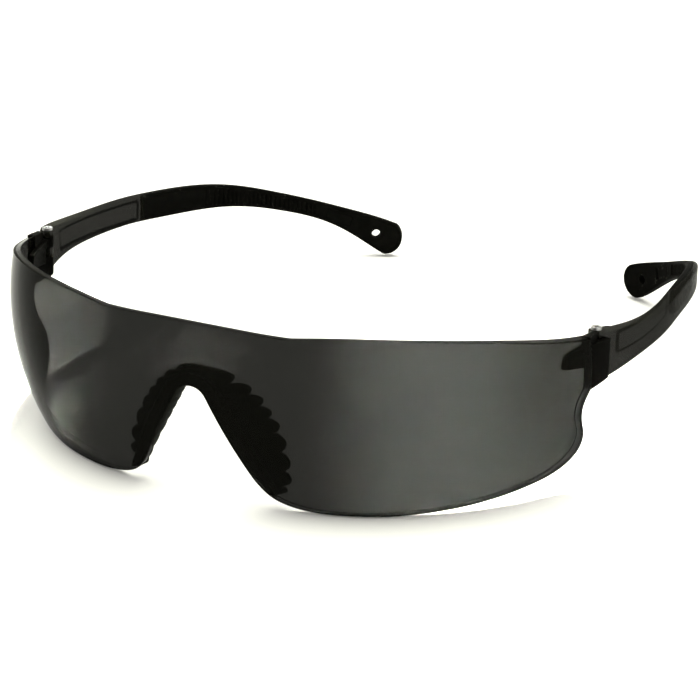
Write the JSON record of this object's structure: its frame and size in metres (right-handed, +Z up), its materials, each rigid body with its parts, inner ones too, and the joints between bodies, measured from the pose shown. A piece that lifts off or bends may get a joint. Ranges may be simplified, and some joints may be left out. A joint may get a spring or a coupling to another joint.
{
  "type": "safety glasses",
  "caption": "Wraparound safety glasses with a one-piece smoke visor lens, soft nosepiece, folding clear arms with ribbed rubber grips and paddle tips with lanyard holes.",
  "frame": {"origin": "under the middle of the whole object, on the surface that it rests on", "axes": "+X towards the wearer's left, +Y from the lens back to the temple tips, +Z up; the object rests on the lens's lower edge and both temple tips"},
  "size_m": [0.1494, 0.1634, 0.0414],
  "materials": {
    "smoke_lens": "polished smoke polycarbonate",
    "soft_rubber": "matt black moulded rubber",
    "black_nylon": "satin black nylon",
    "screw_steel": "bright plated steel",
    "smoke_arm": "glossy translucent smoke polycarbonate",
    "grip_rubber": "satin black moulded rubber"
  },
  "bodies": {
    "front": {"lens": "smoke_lens", "nosepiece": "soft_rubber", "hinge_block_left": "black_nylon", "hinge_block_right": "black_nylon", "hinge_screw_left": "screw_steel", "hinge_screw_right": "screw_steel"},
    "temple_left": {"temple_left": "smoke_arm", "temple_sleeve_left": "grip_rubber"},
    "temple_right": {"temple_right": "smoke_arm", "temple_sleeve_right": "grip_rubber"}
  },
  "joints": [
    {"name": "fold_left", "type": "hinge", "parent": "front", "child": "temple_left", "pos_m": [0.0695, -0.02946, 0.02732], "axis": [0, 0.0595, 0.9982], "range_deg": [0, 90]},
    {"name": "fold_right", "type": "hinge", "parent": "front", "child": "temple_right", "pos_m": [-0.0695, -0.02946, 0.02732], "axis": [0, -0.0595, -0.9982], "range_deg": [0, 66]}
  ]
}
